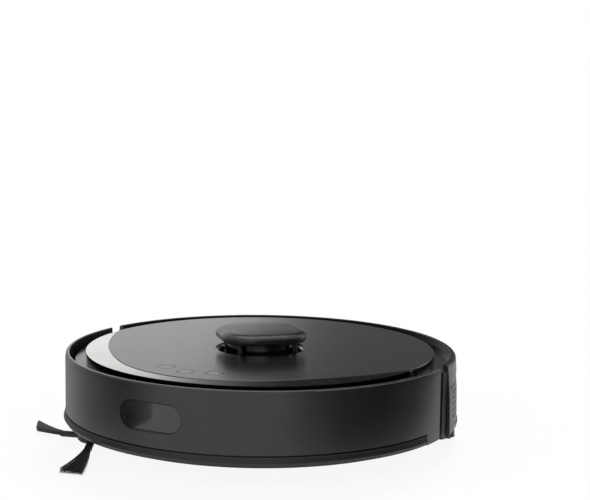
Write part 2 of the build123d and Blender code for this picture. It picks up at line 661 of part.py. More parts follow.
def brush_core():
    core = rod_x(CORE_R, 0, 0, -BRUSH_HALF, BRUSH_HALF) + rod_x(4.0, 0, 0, -BAY_HALF - 2, BAY_HALF + 2)
    for side in (-1, 1):
        core += rod_x(CORE_R + 3, 0, 0, *sorted((side * BRUSH_HALF, side * (BRUSH_HALF + 2.5))))
    return Pos(0, BRUSH_Y, BRUSH_Z) * core


def fin(turn):
    inner = CORE_R + 0.8
    half = BRUSH_HALF - 0.5
    sections = []
    for part in (-1.0, -0.5, 0.0, 0.5, 1.0):
        twist = turn + FIN_TWIST * (1 - abs(part))
        face = Plane.YZ.offset(part * half) * Rot(0, 0, twist) * Pos((inner + BRUSH_R) / 2, 0)
        sections.append(face * Rectangle(BRUSH_R - inner, FIN_T))
    return loft(sections, ruled=True)


def brush_fins():
    half = BRUSH_HALF - 0.5
    sleeve = rod_x(CORE_R + 1.6, 0, 0, -half, half)
    fins = sleeve + [fin(turn) for turn in range(0, 360, 360 // FINS)]
    return Pos(0, BRUSH_Y, BRUSH_Z) * (fins - rod_x(CORE_R + CURVE_GAP, 0, 0, -100, 100))


def brush_guard():
    frame = block(-GUARD_X, GUARD_X, HINGE_Y, BRUSH_Y + 32, *GUARD_Z)
    frame = chamfer(frame.faces().sort_by(Axis.Z)[0].edges().sort_by(Axis.Y)[1:], 1.6)
    frame += rod_x(1.25, HINGE_Y, HINGE_Z, -GUARD_X + 1, GUARD_X - 1)
    frame -= block(-86.5, 86.5, BRUSH_Y - 19.6, BRUSH_Y + 19.6, 0, 50)
    frame += both_sides(block(53, 71, BRUSH_Y + 31, BRUSH_Y + 35, GUARD_Z[0], BASE_Z - 0.6))
    frame -= both_sides(block(HOOK_X - 4.2, HOOK_X + 4.2, HINGE_Y - 4, HINGE_Y + 3.4, 0, 50))
    return frame + both_sides(rod_x(0.9, HINGE_Y, HINGE_Z, HOOK_X - 5, HOOK_X + 5))


def side_brush_hub():
    hub = rod(13, 0, 0, 5.0, BASE_Z - 0.6)
    hub = chamfer(hub.faces().sort_by(Axis.Z)[0].edges(), 1.8)
    hub += rod(3.5, 0, 0, BASE_Z - 1, BASE_TOP + 8.5)
    arm = Pos(8, 0, 8.2) * Rot(0, 94, 0) * extrude(RectangleRounded(4.6, 6.4, 2.0), 25)
    hub += [Rot(0, 0, angle) * arm for angle in SIDE_ARM_DEG]
    hub -= rod(3.2, 0, 0, 4, 6.4)
    return Pos(SIDE_X, SIDE_Y, 0) * hub


def side_brush_screw():
    screw = rod(3.0, 0, 0, 5.2, 6.4) - block(-2, 2, -0.4, 0.4, 5, 5.8)
    return Pos(SIDE_X, SIDE_Y, 0) * (screw - block(-0.4, 0.4, -2, 2, 5, 5.8))


def strand(row, col, bend):
    u = col / (TUFT_COLS - 1) - 0.5
    v = row / (TUFT_ROWS - 1) - 0.5
    sections = []
    last = SIDE_REACH + 5 * u - 2 * abs(v)
    for step, thick in ((0.0, 0.11), (0.5, 0.18), (1.0, 0.15)):
        x = 34.35 + (last - 34.35) * step
        y = u * (4.6 + 14.0 * step ** 1.3) - bend * step * step
        z = 7.0 + v * (2.8 + 2.2 * step) - 3.9 * step
        ring_points = [(x, y + thick, z - thick), (x, y, z + thick), (x, y - thick, z - thick)]
        sections.append(make_face(Polyline(*ring_points, close=True)))
    return loft(sections, ruled=True)


def bristle_tuft(bend):
    tuft = Pos(33.85, 0, 7.0) * Box(1.0, 5.6, 3.8)
    strands = [strand(row, col, bend) for row in range(TUFT_ROWS) for col in range(TUFT_COLS)]
    return tuft.fuse(Compound(children=strands), glue=True)


def dust_bin():
    body = block(-BIN_HALF, BIN_HALF, BIN_Y, BODY_R + 10, BIN_Z, BIN_TOP)
    body &= rear_solid(0.15) + block(-BIN_HALF, BIN_HALF, BIN_Y, 120, BIN_Z, BIN_TOP)
    inner = BIN_HALF - BIN_WALL
    body -= block(-inner, inner, BIN_Y + BIN_WALL, BODY_R - 8, BIN_Z + BIN_WALL, BIN_TOP + 5)
    body -= block(-BIN_HALF - 1, BIN_HALF + 1, BIN_Y - 1, BODY_R - 10, BIN_TOP - 2.6, BIN_TOP + 5)
    body -= block(-29, 29, BIN_Y - 1, BIN_Y + 5, BIN_Z + BIN_WALL, BIN_Z + 13)
    return body - slot_y(26.6, 9.6, BIN_Z + 28, BODY_R - 4.5, BODY_R + 10)


def bin_lid():
    lid = block(-BIN_HALF, BIN_HALF, BIN_Y, BODY_R - 10.3, BIN_TOP - 2.6, BIN_TOP)
    return fillet(lid.edges().filter_by(Axis.Z).sort_by(Axis.Y)[:2], 2)


def hepa_filter():
    top = BIN_TOP - 2.6
    count = 12
    pitch = 54.0 / count
    points = [(-27.0, 0.0), (-27.0, -1.5)]
    for index in range(count):
        points += [(-27.0 + pitch * (index + 0.5), -8.0), (-27.0 + pitch * (index + 1), -1.5)]
    zigzag = make_face(Polyline(*points, (27.0, 0.0), close=True))
    pleats = Pos(0, 113, top - 2) * Rot(0, 0, 90) * Rot(90, 0, 0) * extrude(zigzag, 32, both=True)
    rim = block(-35, 35, 83, 143, top - 2, top)
    return pleats + rim


def bin_latch():
    key = slot_y(26.0, 9.0, BIN_Z + 28, BODY_R - 4.5 + LATCH_TRAVEL + GAP, BODY_R + 10)
    return key & rear_solid(0.0)


def mop_outline(radius, front):
    return Circle(radius) - Pos(0, front - 500) * Rectangle(1000, 1000)


def mop_plate():
    plate = slab(mop_outline(MOP_R - 1, MOP_Y), BASE_Z - MOP_PLATE_T, BASE_Z)
    return fillet(plate.edges().filter_by(Axis.Z), 10)


def mop_cloth():
    cloth = slab(mop_outline(MOP_R + 4.4, MOP_Y - 2), 0.4, BASE_Z - MOP_PLATE_T)
    cloth = fillet(cloth.edges().filter_by(Axis.Z), 12)
    return chamfer(cloth.faces().sort_by(Axis.Z)[0].edges(), 2.4)


def save(name, shapes):
    solids = []
    for shape in shapes if isinstance(shapes, list) else [shapes]:
        solids += shape.solids()
    whole = solids[0] if len(solids) == 1 else Compound(children=solids)
    export_step(whole, os.path.join("parts", name + ".step"))


def main():
    os.makedirs("parts", exist_ok=True)
    makers = [base_pan, upper_shell, exhaust_grille, charge_contacts, crescent_trim, top_disc, turret_ring]
    makers += [bumper_shell, bumper_strip, front_window, bumper_springs, turret_cap, cap_springs]
    makers += [lidar_base, lidar_rotor, lidar_lens, lidar_pulley, lidar_belt, lidar_motor]
    makers += [battery, battery_cover, main_board, fan_housing, fan_motor, fan_impeller]
    makers += [brush_motor, side_brush_motor, cliff_sensors, base_screws, suspension_pins]
    makers += [caster_fork, caster_axle, caster_wheel, brush_core, brush_fins, brush_guard]
    makers += [side_brush_hub, side_brush_screw]
    makers += [dust_bin, bin_lid, hepa_filter, bin_latch, mop_plate, mop_cloth]
    for maker in makers:
        save(maker.__name__, maker())
    for maker in (wheel_arm, wheel_hub, tyre):
        left, right = both_sides(maker())
        save(maker.__name__ + "_left", left)
        save(maker.__name__ + "_right", right)
    for name, spot in BUTTON_SPOTS.items():
        save(name, button(spot))
    for index, (angle, bend) in enumerate(zip(SIDE_ARM_DEG, TUFT_BEND)):
        place = Pos(SIDE_X, SIDE_Y, 0) * Rot(0, 0, angle)
        save(f"bristle_tuft_{index + 1}", place * bristle_tuft(bend))


main()
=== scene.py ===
import math

import bmesh
import bpy
from mathutils import Matrix, Vector


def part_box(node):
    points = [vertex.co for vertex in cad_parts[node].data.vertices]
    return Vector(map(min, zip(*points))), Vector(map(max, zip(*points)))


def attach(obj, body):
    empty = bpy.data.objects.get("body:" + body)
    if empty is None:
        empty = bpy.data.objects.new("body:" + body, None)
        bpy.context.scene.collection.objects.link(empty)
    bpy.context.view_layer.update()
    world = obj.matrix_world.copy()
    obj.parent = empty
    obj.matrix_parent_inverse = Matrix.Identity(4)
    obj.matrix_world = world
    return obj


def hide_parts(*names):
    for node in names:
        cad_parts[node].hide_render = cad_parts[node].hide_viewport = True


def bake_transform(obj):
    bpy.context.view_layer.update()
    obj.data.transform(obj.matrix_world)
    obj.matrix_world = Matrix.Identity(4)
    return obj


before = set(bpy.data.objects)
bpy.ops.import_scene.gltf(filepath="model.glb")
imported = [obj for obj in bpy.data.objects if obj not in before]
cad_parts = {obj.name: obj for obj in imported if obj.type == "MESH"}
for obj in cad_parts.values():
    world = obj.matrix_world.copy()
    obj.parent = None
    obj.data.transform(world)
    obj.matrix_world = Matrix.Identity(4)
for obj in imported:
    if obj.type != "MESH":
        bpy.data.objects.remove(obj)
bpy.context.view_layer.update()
scene = bpy.context.scene
scene.view_settings.view_transform = "Standard"
print("frame loaded:", len(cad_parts), "nodes")


class Tone:  # a node socket that takes arithmetic
    def __init__(self, graph, socket):
        self.graph = graph
        self.socket = socket

    def __add__(self, other):
        return self.graph.maths("ADD", self, other)

    def __radd__(self, other):
        return self.graph.maths("ADD", other, self)

    def __sub__(self, other):
        return self.graph.maths("SUBTRACT", self, other)

    def __rsub__(self, other):
        return self.graph.maths("SUBTRACT", other, self)

    def __mul__(self, other):
        return self.graph.maths("MULTIPLY", self, other)

    def __rmul__(self, other):
        return self.graph.maths("MULTIPLY", other, self)

    def __pow__(self, other):
        return self.graph.maths("POWER", self, other)


class Graph:  # any node tree, shader or geometry
    def __init__(self, tree):
        self.tree = tree

    def node(self, kind, settings=None, inputs=None, out=0):  # a list puts several links into one socket
        made = self.tree.nodes.new(kind)
        for key, value in (settings or {}).items():
            if key == "stops":
                ramp = made.color_ramp
                while len(ramp.elements) < len(value):
                    ramp.elements.new(1.0)
                for element, (at, shade) in zip(ramp.elements, value):
                    element.position = at
                    element.color = (*shade, 1.0)
            else:
                setattr(made, key, value)
        for key, value in (inputs or {}).items():
            for item in value if isinstance(value, list) else [value]:
                if isinstance(item, Tone):
                    self.join(item, made, key)
                else:
                    made.inputs[key].default_value = item
        return Tone(self, made.outputs[out])

    def join(self, source, made, key):
        self.tree.links.new(source.socket, made.inputs[key])

    def maths(self, operation, *values):
        return self.node("ShaderNodeMath", {"operation": operation}, dict(enumerate(values)))

    def split(self, vector):
        made = self.node("ShaderNodeSeparateXYZ", inputs={0: vector}).socket.node
        return [Tone(self, output) for output in made.outputs]


class Finish(Graph):  # one material with its Principled shader
    def __init__(self, name):
        self.material = bpy.data.materials.new(name)
        self.material.use_nodes = True
        super().__init__(self.material.node_tree)
        self.shader = next(n for n in self.tree.nodes if n.type == "BSDF_PRINCIPLED")

    def place(self):
        return self.node("ShaderNodeTexCoord", out="Object")

    def axes(self):
        return self.split(self.place())

    def cloud(self, scale, detail=2.0, rough=0.5, spot=None):
        found = {"Vector": spot or self.place(), "Scale": scale, "Detail": detail, "Roughness": rough}
        return self.node("ShaderNodeTexNoise", inputs=found)

    def streaks(self, stretch, detail=3.0, rough=0.6):  # a cloud with its own scale on each axis
        spot = self.node("ShaderNodeMapping", inputs={"Vector": self.place(), "Scale": stretch})
        return self.cloud(1.0, detail, rough, spot)

    def cells(self, scale, distance="EUCLIDEAN", scatter=1.0, out=0):
        found = {"Vector": self.place(), "Scale": scale, "Randomness": scatter}
        return self.node("ShaderNodeTexVoronoi", {"feature": "F1", "distance": distance}, found, out)

    def skin(self, look, detail=3.0, rough=0.6):  # fine grain and slow drift of a moulded or lacquered face
        return self.cloud(look["grain"], detail, rough), self.cloud(look["drift"])

    def blend(self, amount, first, second):
        ends = [(*c, 1.0) if isinstance(c, tuple) else c for c in (first, second)]
        return self.node("ShaderNodeMix", {"data_type": "RGBA"}, {0: amount, 6: ends[0], 7: ends[1]}, out=2)

    def ease(self, value, low, high):
        found = {0: value, 1: low, 2: high}
        return self.node("ShaderNodeMapRange", {"interpolation_type": "SMOOTHSTEP"}, found)

    def mottle(self, look, pattern, width=0.16):  # deep to pale as the pattern rises through its middle
        return self.blend(self.ease(pattern, 0.5 - width, 0.5 + width), look["deep"], look["pale"])

    def bump(self, height, depth, strength=1.0, under=None):
        found = {"Strength": strength, "Distance": depth, "Height": height}
        if under:
            found["Normal"] = under
        return self.node("ShaderNodeBump", inputs=found)

    def set(self, **sockets):
        for key, value in sockets.items():
            name = "".join(" " + c if c.isupper() else c for c in key).title().replace("Ior", "IOR").strip()
            if isinstance(value, Tone):
                self.join(value, self.shader, name)
            else:
                self.shader.inputs[name].default_value = (*value, 1.0) if isinstance(value, tuple) else value
        return self.material


class Shaper(Graph):  # a geometry node tree with named sizes
    def __init__(self, name, sizes):
        tree = bpy.data.node_groups.new(name, "GeometryNodeTree")
        tree.interface.new_socket("Geometry", in_out="OUTPUT", socket_type="NodeSocketGeometry")
        tree.interface.new_socket("Geometry", in_out="INPUT", socket_type="NodeSocketGeometry")
        for key, value in sizes.items():
            kind = "NodeSocketInt" if isinstance(value, int) else "NodeSocketFloat"
            tree.interface.new_socket(key, in_out="INPUT", socket_type=kind)
        super().__init__(tree)
        self.sizes = sizes
        self.entry = tree.nodes.new("NodeGroupInput")
        self.exit = tree.nodes.new("NodeGroupOutput")

    def size(self, key):
        return Tone(self, self.entry.outputs[key])

    def vector(self, x, y, z):
        return self.node("ShaderNodeCombineXYZ", inputs={0: x, 1: y, 2: z})

    def spot(self):
        return self.split(self.node("GeometryNodeInputPosition"))

    def moved(self, shape, position):
        return self.node("GeometryNodeSetPosition", inputs={"Geometry": shape, "Position": position})

    def run(self, name, shape, material, points=()):  # the tree's result as a plain mesh object
        whole = self.node("GeometryNodeRealizeInstances", inputs={0: shape})
        whole = self.node("GeometryNodeSetMaterial", inputs={"Geometry": whole, "Material": material})
        self.join(whole, self.exit, 0)
        seedMesh = bpy.data.meshes.new(name)
        seedMesh.from_pydata([tuple(p) for p in points], [], [])
        piece = bpy.data.objects.new(name, seedMesh)
        scene.collection.objects.link(piece)
        modifier = piece.modifiers.new(name, "NODES")
        modifier.node_group = self.tree
        for item in self.tree.interface.items_tree:
            if item.in_out == "INPUT" and item.name in self.sizes:
                modifier[item.identifier] = self.sizes[item.name]
        return settled(piece)


def settled(piece):  # modifiers turned into plain mesh
    bpy.context.view_layer.update()
    graph = bpy.context.evaluated_depsgraph_get()
    mesh = bpy.data.meshes.new_from_object(piece.evaluated_get(graph))
    piece.modifiers.clear()
    piece.data = mesh
    mesh.name = piece.name
    return piece


def roundShade(piece, angle=35.0):  # smooth over edges flatter than the angle
    mesh = piece.data
    mesh.shade_smooth()
    if angle < 180.0:
        mesh.set_sharp_from_angle(angle=math.radians(angle))


def meshPiece(name, shape, material):
    mesh = bpy.data.meshes.new(name)
    shape.to_mesh(mesh)
    shape.free()
    mesh.materials.append(material)
    piece = bpy.data.objects.new(name, mesh)
    scene.collection.objects.link(piece)
    return piece


def nodeCopy(node):  # a node's loose triangles joined into one skin
    shape = bmesh.new()
    shape.from_mesh(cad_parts[node].data)
    bmesh.ops.remove_doubles(shape, verts=shape.verts, dist=1e-6)
    return shape


def middleOf(low, high):
    return (low.x + high.x) / 2, (low.y + high.y) / 2


def reachOf(x, y):
    return (x * x + y * y) ** 0.5


# finishes: lengths in metres, pattern scales per metre, colours from deep to pale
satinLook = {
    "deep": (0.0085, 0.0082, 0.0077), "pale": (0.0135, 0.0131, 0.0123), "grain": 1500.0, "drift": 45.0,
    "rough": 0.38, "swing": 0.10, "gloss": 0.42, "depth": 0.00003,
}
capLook = {
    "deep": (0.0095, 0.0095, 0.0095), "pale": (0.014, 0.0138, 0.0135), "grain": 1900.0, "drift": 30.0,
    "rough": 0.27, "swing": 0.06, "gloss": 0.5, "depth": 0.000012,
}
glossLook = {
    "deep": (0.0035, 0.0035, 0.004), "pale": (0.006, 0.006, 0.0065), "grain": 700.0, "drift": 60.0,
    "rough": 0.10, "swing": 0.06, "gloss": 0.5, "depth": 0.000004,
}
baseLook = {
    "deep": (0.020, 0.020, 0.0205), "pale": (0.031, 0.031, 0.0315), "grain": 1050.0, "drift": 34.0,
    "rough": 0.52, "swing": 0.12, "gloss": 0.4, "depth": 0.00005,
}
hubLook = {
    "deep": (0.105, 0.105, 0.108), "pale": (0.150, 0.150, 0.152), "grain": 1200.0, "drift": 60.0,
    "rough": 0.46, "swing": 0.12, "gloss": 0.4, "depth": 0.00003,
}
binLook = {
    "deep": (0.026, 0.026, 0.028), "pale": (0.040, 0.040, 0.042), "grain": 520.0, "drift": 36.0,
    "rough": 0.20, "swing": 0.10, "gloss": 0.5, "depth": 0.00001,
}


def mouldedPlastic(name, look):  # fine grain over a slow drift
    f = Finish(name)
    grain, drift = f.skin(look)
    shade = f.mottle(look, 0.55 * grain + 0.45 * drift)
    rough = look["rough"] + look["swing"] * (grain - 0.5) + 0.6 * look["swing"] * (drift - 0.5)
    normal = f.bump(grain, look["depth"])
    return f.set(baseColor=shade, roughness=rough, specularIorLevel=look["gloss"], normal=normal)


bumperLook = {
    "deep": (0.0078, 0.0075, 0.0069), "pale": (0.0125, 0.0121, 0.0112), "worn": (0.045, 0.044, 0.043),
    "tint": (1.0, 0.982, 0.955), "grain": 1500.0, "drift": 38.0, "rough": 0.36, "swing": 0.10, "gloss": 0.60,
    "depth": 0.00003, "rimFrom": 0.0742, "rimTo": 0.0753, "rimPolish": 0.14, "rimSmooth": 0.7,
    "rimHighlightFrom": 0.30, "rimHighlightTo": 0.62, "rimHighlightShare": 0.5,
}


def bumperBlack(name, look):  # spark-eroded satin, smoother along the top rim, which also carries a painted highlight
    f = Finish(name)
    grain, drift = f.skin(look)
    rim = f.ease(f.axes()[2], look["rimFrom"], look["rimTo"])
    # painted highlight: patches along the top rim are lightened, a thin light line drawn into the colour
    # where the rim's edge would catch light
    rimHighlight = rim * f.ease(drift, look["rimHighlightFrom"], look["rimHighlightTo"])
    shade = f.blend(rimHighlight * look["rimHighlightShare"], f.mottle(look, 0.55 * grain + 0.45 * drift), look["worn"])
    rough = look["rough"] + look["swing"] * (grain - 0.5) + 0.5 * look["swing"] * (drift - 0.5)
    normal = f.bump(grain * (1 - look["rimSmooth"] * rim), look["depth"])
    return f.set(
        baseColor=shade, roughness=rough - look["rimPolish"] * rim, specularIorLevel=look["gloss"],
        specularTint=look["tint"], normal=normal,
    )


shellLook = {
    "deep": (0.0082, 0.0079, 0.0073), "pale": (0.0126, 0.0122, 0.0114), "channel": (0.004, 0.004, 0.004),
    "dust": (0.03, 0.03, 0.03), "dustShare": 0.25, "specks": 900.0, "grain": 1500.0, "drift": 40.0,
    "rough": 0.38, "swing": 0.1, "channelRough": 0.11, "channelSwing": 0.08, "gloss": 0.45, "depth": 0.00003,
    "channelReach": 0.1672, "reachFade": 0.0006, "channelTop": 0.0725, "topFade": 0.002,
}


def shellBlack(name, look):  # satin outside, polished in the channel round the cover
    f = Finish(name)
    x, y, z = f.axes()
    grain, drift = f.skin(look)
    inside = f.ease(reachOf(x, y), look["channelReach"] + look["reachFade"], look["channelReach"])
    channel = inside * f.ease(z, look["channelTop"] + look["topFade"], look["channelTop"])
    dust = f.ease(f.cloud(look["specks"], 1.0), 0.66, 0.74)
    dusty = f.blend(dust * look["dustShare"], look["channel"], look["dust"])
    shade = f.blend(channel, f.mottle(look, 0.55 * grain + 0.45 * drift), dusty)
    satin = look["rough"] + look["swing"] * (grain - 0.5)
    polish = look["channelRough"] + look["channelSwing"] * drift
    return f.set(
        baseColor=shade, roughness=satin * (1 - channel) + polish * channel, specularIorLevel=look["gloss"],
        normal=f.bump(grain * (1 - channel), look["depth"]),
    )


discLook = {
    "deep": (0.0105, 0.0102, 0.0095), "pale": (0.0155, 0.015, 0.014), "flake": (0.05, 0.0485, 0.0455),
    "tint": (1.0, 0.975, 0.94), "flakes": 2200.0, "flakeFrom": 0.86, "flakeTo": 0.98, "flakeShare": 0.7,
    "grain": 1300.0, "drift": 22.0, "rough": 0.20, "gloss": 0.5, "depth": 0.000014,
}


def discPearl(name, look):  # dark lacquer with a fine pearl flake
    f = Finish(name)
    grain, drift = f.skin(look, 2.0, 0.55)
    pick = f.node("ShaderNodeSeparateColor", inputs={0: f.cells(look["flakes"], out="Color")})
    flake = f.ease(pick, look["flakeFrom"], look["flakeTo"])
    shade = f.blend(flake * look["flakeShare"], f.mottle(look, 0.6 * grain + 0.4 * drift), look["flake"])
    rough = look["rough"] + 0.08 * (grain - 0.5) + 0.05 * (drift - 0.5) - 0.05 * flake
    return f.set(
        baseColor=shade, roughness=rough, specularIorLevel=look["gloss"], specularTint=look["tint"],
        normal=f.bump(grain, look["depth"]),
    )


# edge: the near-black colour painted on the side faces as shade
silverLook = {
    "deep": (0.56, 0.545, 0.525), "pale": (0.66, 0.645, 0.625), "edge": (0.03, 0.029, 0.028), "drift": 26.0,
    "peel": 420.0, "hair": 2600.0, "rough": 0.13, "coat": 0.25, "coatRough": 0.05, "depth": 0.000006,
    "slope": 0.16, "faceFrom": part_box("crescent_trim")[1].z - 0.0009, "faceFade": 0.0004,
}
ringLook = {
    **silverLook, "deep": (0.16, 0.157, 0.152), "pale": (0.24, 0.236, 0.23), "edge": (0.05, 0.049, 0.048),
    "drift": 40.0, "rough": 0.20, "slope": 0.0, "faceFrom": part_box("turret_ring")[0].z,
}


def silverLacquer(name, look):  # vapour-plated plastic under clear lacquer, dished towards its outer edge, its sides painted near black as shade
    f = Finish(name)
    x, y, z = f.axes()
    drift = f.cloud(look["drift"], 3.0)
    peel = f.cloud(look["peel"])
    hair = f.ease(f.cloud(look["hair"], 1.0), 0.60, 0.72)
    # painted shade: below the top face the sides take the near-black edge colour, standing in for the shade
    # beside the trim
    face = f.ease(z, look["faceFrom"], look["faceFrom"] + look["faceFade"])
    shade = f.blend(face, look["edge"], f.mottle(look, drift, 0.18))
    rough = look["rough"] + 0.06 * (drift - 0.5) + 0.05 * hair
    dish = f.bump(0.0 - reachOf(x, y), look["slope"])
    return f.set(
        baseColor=shade, metallic=1.0, roughness=rough, coatWeight=look["coat"],
        coatRoughness=look["coatRough"], normal=f.bump(peel, look["depth"], under=dish),
    )


windowLook = {
    "deep": (0.004, 0.004, 0.0045), "pale": (0.011, 0.0105, 0.011), "drift": 60.0,
    "wipe": (60.0, 60.0, 900.0), "rough": 0.09, "coat": 0.6, "coatRough": 0.04, "gloss": 0.5,
}


def smokedWindow(name, look):  # infrared plastic, clear coat with faint wiping marks
    f = Finish(name)
    drift = f.cloud(look["drift"])
    wipe = f.streaks(look["wipe"], 2.0, 0.5)
    rough = look["rough"] + 0.10 * f.ease(wipe, 0.5, 0.8) + 0.04 * drift
    return f.set(
        baseColor=f.mottle(look, drift, 0.2), roughness=rough, coatWeight=look["coat"],
        coatRoughness=look["coatRough"], specularIorLevel=look["gloss"],
    )


rubberLook = {
    "deep": (0.0075, 0.0074, 0.0072), "pale": (0.0155, 0.0152, 0.0147), "bloom": (0.04, 0.039, 0.037),
    "bloomShare": 0.2, "grain": 1100.0, "drift": 70.0, "rough": 0.52, "gloss": 0.35, "depth": 0.00004,
}
treadLook = {
    **rubberLook, "deep": (0.012, 0.012, 0.012), "pale": (0.026, 0.0255, 0.025), "grain": 820.0,
    "drift": 90.0, "rough": 0.62, "depth": 0.00008,
}
finLook = {
    **rubberLook, "deep": (0.155, 0.018, 0.014), "pale": (0.235, 0.030, 0.022), "grain": 900.0, "drift": 60.0,
    "rough": 0.48,
}


def softRubber(name, look):  # matt rubber with a dusty bloom
    f = Finish(name)
    grain = f.cloud(look["grain"], 4.0, 0.65)
    bloom = f.ease(f.cloud(look["drift"], 3.0), 0.45, 0.75)
    shade = f.blend(bloom * look["bloomShare"], f.mottle(look, grain, 0.18), look["bloom"])
    rough = look["rough"] + 0.16 * (grain - 0.5) + 0.10 * bloom
    normal = f.bump(grain, look["depth"])
    return f.set(baseColor=shade, roughness=rough, specularIorLevel=look["gloss"], normal=normal)


steelLook = {
    "deep": (0.40, 0.40, 0.41), "pale": (0.62, 0.62, 0.62), "lines": (1600.0, 90.0, 1600.0), "cloud": 160.0,
    "rough": 0.24, "depth": 0.000008,
}
nickelLook = {
    **steelLook, "deep": (0.60, 0.575, 0.53), "pale": (0.74, 0.715, 0.66), "lines": (90.0, 900.0, 1500.0),
    "rough": 0.18, "depth": 0.000005,
}


def drawnSteel(name, look):  # plated wire and pins, drawn lines along their length
    f = Finish(name)
    lines = f.streaks(look["lines"])
    cloud = f.cloud(look["cloud"], 3.0)
    rough = look["rough"] + 0.16 * (lines - 0.5) + 0.10 * (cloud - 0.5)
    shade = f.mottle(look, 0.5 * lines + 0.5 * cloud, 0.18)
    return f.set(baseColor=shade, metallic=1.0, roughness=rough, normal=f.bump(lines, look["depth"]))


boardLook = {
    "mask": (0.012, 0.085, 0.04), "maskPale": (0.02, 0.13, 0.06), "tin": (0.55, 0.53, 0.48), "tracks": 420.0,
    "pads": 294.0, "rough": 0.42, "depth": 0.00003,
}


def circuitBoard(name, look):  # solder mask over tracks, with tinned pads
    f = Finish(name)
    line = f.ease(f.cells(look["tracks"], "MANHATTAN"), 0.42, 0.50)
    pads = f.ease(f.cells(look["pads"]), 0.16, 0.12)
    shade = f.blend(pads, f.blend(line, look["mask"], look["maskPale"]), look["tin"])
    rough = look["rough"] - 0.12 * pads + 0.05 * line
    return f.set(baseColor=shade, metallic=pads, roughness=rough, normal=f.bump(line + pads, look["depth"]))


wrapLook = {
    "deep": (0.055, 0.095, 0.20), "pale": (0.085, 0.14, 0.27), "cells": 54.0, "crease": (60.0, 260.0, 260.0),
    "rough": 0.28, "depth": 0.0004,
}


def cellWrap(name, look):  # shrink wrap drawn tight over round cells
    f = Finish(name)
    swell = f.maths("SINE", f.axes()[0] * (look["cells"] * 2 * math.pi))
    crease = f.streaks(look["crease"])
    return f.set(
        baseColor=f.mottle(look, crease, 0.15), roughness=look["rough"] + 0.12 * crease,
        normal=f.bump(swell * 0.5 + crease * 0.4, look["depth"]),
    )


filterLook = {
    "deep": (0.60, 0.60, 0.58), "pale": (0.82, 0.82, 0.80), "fibre": 1400.0, "felt": 240.0, "rough": 0.86,
    "gloss": 0.2, "depth": 0.00006,
}


def filterPaper(name, look):  # felted fibre paper
    f = Finish(name)
    fibre = f.cloud(look["fibre"], 5.0, 0.7)
    felt = f.cloud(look["felt"], 3.0)
    return f.set(
        baseColor=f.mottle(look, 0.6 * fibre + 0.4 * felt), roughness=look["rough"] + 0.1 * (felt - 0.5),
        specularIorLevel=look["gloss"], normal=f.bump(fibre, look["depth"]),
    )


padLook = {
    "deep": (0.050, 0.050, 0.053), "pale": (0.135, 0.134, 0.138), "loop": 620.0, "fuzz": 2400.0, "lay": 45.0,
    "stripe": 62.0, "rough": 0.88, "gloss": 0.15, "sheen": 0.35, "sheenRough": 0.5, "depth": 0.0006,
}


def microfibre(name, look):  # looped pile with a diagonal rib
    f = Finish(name)
    x, y = f.axes()[:2]
    pile = 1 - f.cells(look["loop"], scatter=0.8)
    fuzz = f.cloud(look["fuzz"], 3.0, 0.7)
    rib = f.maths("SINE", (x + y) * (look["stripe"] * 2 * math.pi)) * 0.5 + 0.5
    lay = f.cloud(look["lay"], 3.0)
    tone = f.ease(0.45 * pile + 0.25 * fuzz + 0.15 * rib + 0.15 * lay, 0.30, 0.72)
    return f.set(
        baseColor=f.blend(tone, look["deep"], look["pale"]), roughness=look["rough"] + 0.1 * (fuzz - 0.5),
        specularIorLevel=look["gloss"], sheenWeight=look["sheen"], sheenRoughness=look["sheenRough"],
        normal=f.bump(pile * 0.8 + fuzz * 0.3, look["depth"], 0.7),
    )


bristleLook = {
    "root": (0.018, 0.018, 0.018), "tip": (0.040, 0.040, 0.041), "hub": (-0.094, -0.118), "rootAt": 0.035,
    "tipAt": 0.085, "mix": 900.0, "rough": 0.46, "gloss": 0.4,
}


def bristleFibre(name, look):  # nylon filament, paler towards the tips
    f = Finish(name)
    x, y = f.axes()[:2]
    along = f.ease(reachOf(x - look["hub"][0], y - look["hub"][1]), look["rootAt"], look["tipAt"])
    mix = f.cloud(look["mix"])
    shade = f.blend(0.7 * along + 0.3 * mix, look["root"], look["tip"])
    rough = look["rough"] + 0.12 * (mix - 0.5)
    return f.set(baseColor=shade, roughness=rough, specularIorLevel=look["gloss"])


inkLook = {"deep": (0.30, 0.30, 0.30), "pale": (0.42, 0.42, 0.42), "patch": 1800.0, "rough": 0.42}


def padPrint(name, look):  # printed mark, thinner in places
    f = Finish(name)
    patch = f.cloud(look["patch"], 3.0)
    return f.set(baseColor=f.mottle(look, patch, 0.2), roughness=look["rough"] + 0.1 * (patch - 0.5))


